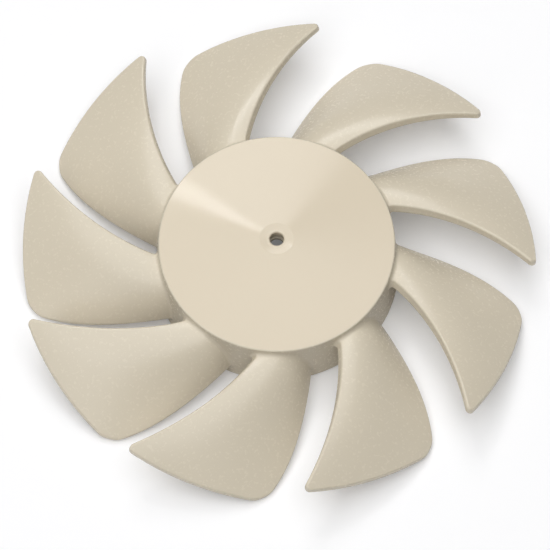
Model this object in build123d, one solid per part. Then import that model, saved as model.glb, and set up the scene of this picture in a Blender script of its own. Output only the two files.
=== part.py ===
from build123d import *
from math import atan2, cos, degrees, hypot, radians, sin, tan
import os

# One-piece moulded axial fan impeller: a shallow hub cup with a closed, slightly conical front
# and nine swept blades. Millimetres. The shaft axis is Z, the closed front faces +Z, and the
# origin is the mouth of the shaft bore on the motor side.

# Hub
front_radius = 25.0         # outside radius at the front rim
rim_growth = 1.0            # how much larger the open rim's radius is, by the draft of the wall
hub_height = 13.1           # from the front rim down to the open rim
cone_rise = 2.5             # how far the cone of the front face would rise over its rim
side_wall = 1.8
front_wall = 1.6
rim_round = 0.35            # rounding of the front rim
inner_round = 1.5           # rounding between the front and the side wall, inside the cup
open_rim_chamfer = 0.3      # chamfer of the open rim, inside and outside

# Shaft bore, the boss round it and the ribs that carry the boss
bore_radius = 1.5           # press fit on a 3 mm motor shaft
bore_length = 3.4           # straight wall of the bore
bore_lead_in = 0.3          # chamfer at the bore's mouth on the motor side
bore_edge = 0.2             # chamfer of the bore's edge on the front face
land_radius = 2.3           # flat land round the bore on the front face
dimple_radius = 3.6         # where the cone starts, round the slightly sunk land
dimple_depth = 0.15
boss_radius = 4.5
rib_count = 6
rib_thickness = 1.2
rib_depth = 1.3             # how far a rib hangs below the front wall, at the side wall

# Blades: each row of four values runs from the hub to the tip in equal steps of radius
tip_radius = 55.0
leading_angles = (104.7, 95.4, 87.1, 79.4)      # degrees from +X, for the first blade
trailing_angles = (131.1, 123.8, 117.8, 110.4)
leading_heights = (-2.8, -2.1, -2.5, -4.1)      # below the front rim
trailing_heights = (-10.1, -11.1, -12.3, -13.7)
root_camber = 3.4           # rise of the blade above its chord, at the hub
tip_camber = 1.2
root_edge = 2.7             # thickness of the leading edge at the hub
tip_edge = 1.9
trailing_edge = 1.4         # thickness of the trailing edge
outer_fall = 1.4            # how much closer to the axis the outer edge ends than it starts
outer_corner = 4.8          # rounding of the outer corner at the trailing edge
corner_margin = 2.5         # how much larger the flat is cut that the outer corner starts from
tip_corner = 1.0            # rounding of the pointed tip at the leading edge
edge_round = 0.45           # rounding along every blade edge
root_fillet = 0.8           # fillet where a blade grows out of the hub

# Angles from one blade to the next, clockwise seen from the front. They are uneven, which
# spreads the tone that the passing blades make.
blade_steps = (44.0, 39.5, 39.5, 41.0, 40.5, 38.5, 37.5, 38.0, 41.5)

root_depth = 1.0            # how far a blade's root reaches into the side wall
section_count = 6
overrun = 1.5               # how far the blade's sections run on past the tip, before trimming

# Heights that follow from the sizes above
face_slope = cone_rise / front_radius
land_z = bore_length + bore_edge
front_rim_z = land_z + dimple_depth - face_slope * (front_radius - dimple_radius)
open_rim_z = front_rim_z - hub_height
boss_z = -bore_lead_in
rear_radius = front_radius + rim_growth


def along_blade(values, radius):
    """Smooth curve through four values spaced evenly from the hub to the tip."""
    span = (radius - front_radius) / (tip_radius - front_radius)
    stations = [0, 1 / 3, 2 / 3, 1]
    total = 0
    for i, value in enumerate(values):
        weight = 1
        for j, station in enumerate(stations):
            if j != i:
                weight *= (span - station) / (stations[i] - station)
        total += value * weight
    return total


def edge_point(angles, heights, distance, facing):
    """Where a blade edge crosses the plane at a distance from the axis that faces an angle."""
    radius = distance
    for _ in range(8):
        angle = along_blade(angles, radius) - facing
        radius = distance / cos(radians(angle))
    return distance * tan(radians(angle)), front_rim_z + along_blade(heights, radius)


def blade_section(distance):
    """Cambered section of the first blade, as a face in a plane square to the blade's length."""
    facing = (along_blade(leading_angles, distance) + along_blade(trailing_angles, distance)) / 2
    lead_x, lead_z = edge_point(leading_angles, leading_heights, distance, facing)
    trail_x, trail_z = edge_point(trailing_angles, trailing_heights, distance, facing)
    chord = hypot(trail_x - lead_x, trail_z - lead_z)
    pitch = degrees(atan2(trail_z - lead_z, trail_x - lead_x))
    span = (distance - front_radius) / (tip_radius - front_radius)
    camber = root_camber + (tip_camber - root_camber) * span
    lead_half = (root_edge + (tip_edge - root_edge) * span) / 2
    trail_half = trailing_edge / 2
    upper, lower = [], []
    for share in (0, 0.2, 0.4, 0.6, 0.8, 1):
        middle = 4 * camber * share * (1 - share)
        half = lead_half + (trail_half - lead_half) * share
        upper.append((chord * share, middle + half))
        lower.append((chord * share, middle - half))
    top = Spline(upper)
    back = Line(upper[-1], lower[-1])
    bottom = Spline(lower[::-1])
    nose = Line(lower[0], upper[0])
    outline = make_face([top, back, bottom, nose])
    across = Vector(-sin(radians(facing)), cos(radians(facing)), 0)
    outward = Vector(cos(radians(facing)), sin(radians(facing)), 0)
    start = outward * distance + across * lead_x + Vector(0, 0, lead_z)
    plane = Plane(origin=start, x_dir=across, z_dir=across.cross(Vector(0, 0, 1)))
    return plane * (Rot(0, 0, pitch) * outline)


def outer_prism():
    """Everything inside the blade's outer edge, as a tall block to trim the blade with."""
    first = leading_angles[-1]
    last = trailing_angles[-1]
    points = []
    for share in (-0.2, 0.5, 1.2):
        angle = radians(first + (last - first) * share)
        radius = tip_radius - outer_fall * share
        points.append((radius * cos(angle), radius * sin(angle)))
    edge = ThreePointArc(*points)
    before = edge @ 0 - (edge % 0) * tip_radius
    after = edge @ 1 + (edge % 1) * tip_radius
    close = Polyline(edge @ 1, after, (0, -tip_radius), before, edge @ 0)
    outline = make_face([edge, close])
    return Pos(0, 0, open_rim_z - hub_height) * extrude(outline, 3 * hub_height)


def polar_point(radius, angle, height):
    """Point at a radius, an angle from +X and a height from the front rim."""
    turn = radians(angle)
    return Vector(radius * cos(turn), radius * sin(turn), front_rim_z + height)


def edges_across(blade, point, reach):
    """Steep edges across the blade's thickness, no further than a reach from a point."""
    steep = blade.edges().filter_by(lambda edge: abs((edge % 0.5).Z) > 0.7)
    return [edge for edge in steep if (edge @ 0.5 - point).length < reach]


def cut_corner(blade, point, radius):
    """Blade with a short flat across a corner, so that two gentle roundings can replace it."""
    corner, = edges_across(blade, point, radius)
    middle = corner @ 0.5
    walls = [face.normal_at(middle) for face in blade.faces() if face.distance_to(middle) < 1e-4]
    outward = (walls[0] + walls[1]).normalized()
    half_angle = radians(90 - walls[0].get_angle(walls[1]) / 2)
    depth = radius * (1 / sin(half_angle) - 1)
    outside = Plane(origin=middle - outward * depth, x_dir=corner % 0.5, z_dir=outward)
    reach = 2 * radius
    return blade - outside * Box(reach, reach, reach, align=(Align.CENTER, Align.CENTER, Align.MIN))


def rims(blade):
    """Edges round the upper and the lower side of a blade, without those at its root."""
    sides = sorted(blade.faces(), key=lambda face: face.area)[-2:]
    return [edge for side in sides for edge in side.edges() if max(radii(edge)) > front_radius]


def radii(edge):
    """Distance from the shaft axis at both ends and the middle of an edge."""
    return [hypot((edge @ share).X, (edge @ share).Y) for share in (0, 0.5, 1)]


def make_blade():
    """The first blade, with its root buried in the side wall of the hub."""
    first = front_radius - root_depth
    last = tip_radius + overrun
    step = (last - first) / (section_count - 1)
    sections = [blade_section(first + step * i) for i in range(section_count)]
    blade = loft(sections) & outer_prism()
    trailing_end = polar_point(tip_radius - outer_fall, trailing_angles[-1], trailing_heights[-1])
    blade = cut_corner(blade, trailing_end, outer_corner + corner_margin)
    blade = fillet(edges_across(blade, trailing_end, outer_corner), outer_corner)
    leading_end = polar_point(tip_radius, leading_angles[-1], leading_heights[-1])
    blade = fillet(edges_across(blade, leading_end, tip_edge), tip_corner)
    return fillet(rims(blade), edge_round)


def circle_at(body, radius, height):
    """The circular edge of a body at a radius and a height."""
    circles = body.edges().filter_by(GeomType.CIRCLE)
    return min(circles, key=lambda edge: abs(edge.radius - radius) + abs(edge.center().Z - height))


def make_cup():
    """Hub cup: side wall with draft and a conical front, sunk a little round the shaft bore."""
    draft = rim_growth / hub_height
    ceiling_z = front_rim_z - front_wall
    ceiling_radius = front_radius - side_wall + draft * front_wall
    outside = make_face(Polyline(
        (0, land_z),
        (land_radius, land_z),
        (dimple_radius, land_z + dimple_depth),
        (front_radius, front_rim_z),
        (rear_radius, open_rim_z),
        (0, open_rim_z),
        close=True))
    inside = make_face(Polyline(
        (0, ceiling_z + face_slope * ceiling_radius),
        (ceiling_radius, ceiling_z),
        (rear_radius - side_wall, open_rim_z),
        (0, open_rim_z),
        close=True))
    cup = revolve(Plane.XZ * outside, Axis.Z) - revolve(Plane.XZ * inside, Axis.Z)
    cup = fillet(circle_at(cup, ceiling_radius, ceiling_z), inner_round)
    cup = fillet(circle_at(cup, front_radius, front_rim_z), rim_round)
    open_rim = [circle_at(cup, radius, open_rim_z) for radius in (rear_radius, rear_radius - side_wall)]
    return chamfer(open_rim, open_rim_chamfer)


def make_boss():
    """Boss on the motor side of the front wall, with ribs that run out to the side wall."""
    middle_z = front_rim_z - front_wall / 2
    boss = Pos(0, 0, boss_z) * Cylinder(
        boss_radius, middle_z - boss_z, align=(Align.CENTER, Align.CENTER, Align.MIN))
    reach = front_radius - side_wall / 2
    profile = make_face(Polyline(
        (0, boss_z),
        (boss_radius, boss_z),
        (reach, front_rim_z - front_wall - rib_depth),
        (reach, middle_z),
        (0, middle_z),
        close=True))
    rib = extrude(Plane.XZ * profile, rib_thickness / 2, both=True)
    for i in range(rib_count):
        boss += Rot(0, 0, 360 / rib_count * i) * rib
    return boss


def make_bore():
    """The shaft's bore with its lead-in, as a tool to cut with."""
    profile = make_face(Polyline(
        (0, boss_z - 1),
        (bore_radius + bore_lead_in + 1, boss_z - 1),
        (bore_radius, 0),
        (bore_radius, land_z + 1),
        (0, land_z + 1),
        close=True))
    return revolve(Plane.XZ * profile, Axis.Z)


def make_impeller():
    """Hub and blades as one moulding."""
    impeller = make_cup() + make_boss() - make_bore()
    impeller = chamfer(circle_at(impeller, bore_radius, land_z), bore_edge)
    blade = make_blade()
    angle = 0
    for step in blade_steps:
        impeller += Rot(0, 0, angle) * blade
        angle -= step
    roots = [edge for edge in impeller.edges()
             if front_radius - 0.5 < min(radii(edge))
             and max(radii(edge)) < rear_radius + 0.1
             and edge.geom_type == GeomType.BSPLINE]
    return fillet(roots, root_fillet)


os.makedirs("parts", exist_ok=True)
impeller = make_impeller()
impeller.label = "impeller"
export_step(impeller, "parts/impeller.step")
print("impeller", impeller.is_valid, round(impeller.volume, 1), impeller.bounding_box())
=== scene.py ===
from math import cos, radians, sin

import bpy
from mathutils import Matrix, Vector


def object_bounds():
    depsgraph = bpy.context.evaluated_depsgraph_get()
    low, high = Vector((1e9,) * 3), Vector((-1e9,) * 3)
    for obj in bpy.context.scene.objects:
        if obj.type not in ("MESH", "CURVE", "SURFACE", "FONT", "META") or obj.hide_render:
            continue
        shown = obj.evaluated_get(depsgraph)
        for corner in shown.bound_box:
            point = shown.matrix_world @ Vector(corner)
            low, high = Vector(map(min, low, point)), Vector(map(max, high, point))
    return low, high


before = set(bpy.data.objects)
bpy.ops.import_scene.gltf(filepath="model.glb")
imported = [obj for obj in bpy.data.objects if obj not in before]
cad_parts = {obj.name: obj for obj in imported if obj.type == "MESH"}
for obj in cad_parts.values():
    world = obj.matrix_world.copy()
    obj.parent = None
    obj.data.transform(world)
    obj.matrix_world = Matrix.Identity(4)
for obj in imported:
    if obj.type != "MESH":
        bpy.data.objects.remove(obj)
cad_low, cad_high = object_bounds()

# Camera, from the outline of the blades and the hub in the photograph
CAMERA_TILT = radians(24.4)       # away from the shaft axis, towards -Y
CAMERA_ROLL = radians(0.14)
CAMERA_DISTANCE = 0.849
AIM_RIGHT = -0.00037              # what lies at the picture's centre, from the hub's front rim
AIM_UP = -0.0068
RIM_HEIGHT = 0.00161              # front rim of the hub above the origin
LENS = 263.5
SENSOR = 36.0

# Floor and light
FLOOR_SIZE = 3.0
FLOOR_COLOUR = (0.86, 0.86, 0.87)
FLOOR_GLOW = 0.15                 # seen by the camera only, so the floor reads as white
WORLD_LEVEL = 0.10
SOFTBOX = {"place": (-0.08, -0.05, 1.0), "size": 1.5, "power": 10.5}
BACK_BOX = {"place": (-0.06, 0.78, 0.88), "size": 0.5, "power": 2.2}
SPARK = {"place": (-0.27, 0.65, 0.95), "size": 0.07, "power": 0.55}
FILL = {"place": (-0.55, -0.75, 0.75), "size": 0.8, "power": 1.6}

# Plastic
PLASTIC_COLOUR = (0.70, 0.63, 0.50)
DISC_COLOUR = (0.71, 0.62, 0.475)
DISC_RADIUS = 0.0247
DISC_HEIGHT = 0.0011


def make_camera():
    """Camera at the photograph's angle, framing and perspective."""
    back = Vector((0, -sin(CAMERA_TILT), cos(CAMERA_TILT)))
    level = Vector((1, 0, 0))
    rise = back.cross(level)
    right = level * cos(CAMERA_ROLL) + rise * sin(CAMERA_ROLL)
    up = rise * cos(CAMERA_ROLL) - level * sin(CAMERA_ROLL)
    place = right * AIM_RIGHT + up * AIM_UP + back * CAMERA_DISTANCE
    place.z += RIM_HEIGHT
    data = bpy.data.cameras.new("camera")
    data.lens = LENS
    data.sensor_width = SENSOR
    data.clip_start = 0.01
    camera = bpy.data.objects.new("camera", data)
    turn = Matrix((right, up, back)).transposed().to_4x4()
    camera.matrix_world = Matrix.Translation(place) @ turn
    bpy.context.scene.collection.objects.link(camera)
    bpy.context.scene.camera = camera


def make_softbox(name, place, size, power):
    """Round softbox that faces the impeller."""
    data = bpy.data.lights.new(name, "AREA")
    data.shape = "DISK"
    data.size = size
    data.energy = power
    light = bpy.data.objects.new(name, data)
    light.location = place
    light.rotation_euler = (-Vector(place)).to_track_quat("-Z", "Y").to_euler()
    bpy.context.scene.collection.objects.link(light)


def make_world():
    """Even white surroundings."""
    world = bpy.data.worlds.new("studio")
    world.use_nodes = True
    background = world.node_tree.nodes["Background"]
    background.inputs["Color"].default_value = (1, 1, 1, 1)
    background.inputs["Strength"].default_value = WORLD_LEVEL
    bpy.context.scene.world = world


def make_floor():
    """White floor under the lowest point of the impeller."""
    half = FLOOR_SIZE / 2
    height = cad_low[2]
    mesh = bpy.data.meshes.new("floor")
    corners = [(-half, -half, height), (half, -half, height), (half, half, height), (-half, half, height)]
    mesh.from_pydata(corners, [], [(0, 1, 2, 3)])
    floor = bpy.data.objects.new("floor", mesh)
    bpy.context.scene.collection.objects.link(floor)
    material = bpy.data.materials.new("white_floor")
    material.use_nodes = True
    tree = material.node_tree
    shader = tree.nodes["Principled BSDF"]
    shader.inputs["Base Color"].default_value = (*FLOOR_COLOUR, 1)
    shader.inputs["Roughness"].default_value = 0.9
    shader.inputs["Specular IOR Level"].default_value = 0.0
    shader.inputs["Emission Color"].default_value = (1, 1, 1, 1)
    rays = tree.nodes.new("ShaderNodeLightPath")
    glow = tree.nodes.new("ShaderNodeMath")
    glow.operation = "MULTIPLY"
    glow.inputs[1].default_value = FLOOR_GLOW
    tree.links.new(rays.outputs["Is Camera Ray"], glow.inputs[0])
    tree.links.new(glow.outputs["Value"], shader.inputs["Emission Strength"])
    mesh.materials.append(material)


def add_node(tree, kind, **settings):
    """Node with its settings."""
    node = tree.nodes.new(kind)
    for name, value in settings.items():
        setattr(node, name, value)
    return node


def add_math(tree, operation, first, second):
    """Math node on two numbers or sockets."""
    node = add_node(tree, "ShaderNodeMath", operation=operation)
    for socket, value in zip(node.inputs, (first, second)):
        if isinstance(value, (int, float)):
            socket.default_value = value
        else:
            tree.links.new(value, socket)
    return node.outputs["Value"]


def add_noise(tree, place, scale, detail):
    """Noise of a size in cells per metre."""
    node = add_node(tree, "ShaderNodeTexNoise")
    node.inputs["Scale"].default_value = scale
    node.inputs["Detail"].default_value = detail
    tree.links.new(place, node.inputs["Vector"])
    return node.outputs["Fac"]


def add_range(tree, value, low, high, new_low, new_high):
    """Number moved from one range to another."""
    node = add_node(tree, "ShaderNodeMapRange")
    tree.links.new(value, node.inputs["Value"])
    node.inputs["From Min"].default_value = low
    node.inputs["From Max"].default_value = high
    node.inputs["To Min"].default_value = new_low
    node.inputs["To Max"].default_value = new_high
    return node.outputs["Result"]


def add_tone(tree, colour, factor):
    """Colour made lighter or darker by a factor."""
    node = add_node(tree, "ShaderNodeVectorMath", operation="SCALE")
    node.inputs[0].default_value = colour
    tree.links.new(factor, node.inputs["Scale"])
    return node.outputs["Vector"]


def make_plastic():
    """Satin moulded plastic, with a turned finish on the hub's front."""
    material = bpy.data.materials.new("beige_plastic")
    material.use_nodes = True
    tree = material.node_tree
    blades = tree.nodes["Principled BSDF"]
    place = add_node(tree, "ShaderNodeTexCoord").outputs["Object"]
    parts = add_node(tree, "ShaderNodeSeparateXYZ")
    tree.links.new(place, parts.inputs["Vector"])
    flat = add_node(tree, "ShaderNodeCombineXYZ")
    tree.links.new(parts.outputs["X"], flat.inputs["X"])
    tree.links.new(parts.outputs["Y"], flat.inputs["Y"])
    span = add_node(tree, "ShaderNodeVectorMath", operation="LENGTH")
    tree.links.new(flat.outputs["Vector"], span.inputs[0])
    radius = span.outputs["Value"]

    clouds = add_noise(tree, place, 35, 2)
    grain = add_noise(tree, place, 1500, 2)
    tone = add_math(tree, "ADD", add_range(tree, clouds, 0.2, 0.8, 0.985, 1.015),
                    add_range(tree, grain, 0.2, 0.8, -0.004, 0.004))

    bump = add_node(tree, "ShaderNodeBump")
    bump.inputs["Strength"].default_value = 0.03
    bump.inputs["Distance"].default_value = 0.00005
    tree.links.new(grain, bump.inputs["Height"])
    tree.links.new(add_tone(tree, PLASTIC_COLOUR, tone), blades.inputs["Base Color"])
    tree.links.new(add_range(tree, grain, 0.2, 0.8, 0.26, 0.28), blades.inputs["Roughness"])
    tree.links.new(bump.outputs["Normal"], blades.inputs["Normal"])
    blades.inputs["IOR"].default_value = 1.5

    disc = add_node(tree, "ShaderNodeBsdfPrincipled")
    tangent = add_node(tree, "ShaderNodeTangent", direction_type="RADIAL", axis="Z")
    tree.links.new(tangent.outputs["Tangent"], disc.inputs["Tangent"])
    disc.inputs["Anisotropic"].default_value = 0.95
    disc.inputs["Anisotropic Rotation"].default_value = 0.25
    disc.inputs["IOR"].default_value = 1.5
    disc.inputs["Roughness"].default_value = 0.2
    tree.links.new(add_tone(tree, DISC_COLOUR, tone), disc.inputs["Base Color"])

    near = add_math(tree, "LESS_THAN", radius, DISC_RADIUS)
    high = add_math(tree, "GREATER_THAN", parts.outputs["Z"], DISC_HEIGHT)
    mask = add_math(tree, "MULTIPLY", near, high)
    mix = add_node(tree, "ShaderNodeMixShader")
    tree.links.new(mask, mix.inputs["Fac"])
    tree.links.new(blades.outputs["BSDF"], mix.inputs[1])
    tree.links.new(disc.outputs["BSDF"], mix.inputs[2])
    output = tree.nodes["Material Output"]
    tree.links.new(mix.outputs["Shader"], output.inputs["Surface"])
    return material


make_camera()
make_world()
make_floor()
make_softbox("softbox", **SOFTBOX)
make_softbox("back_box", **BACK_BOX)
make_softbox("spark", **SPARK)
make_softbox("fill", **FILL)
plastic = make_plastic()
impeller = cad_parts["impeller"]
for slot in impeller.material_slots:
    slot.material = plastic

bpy.context.scene.view_settings.view_transform = "Standard"
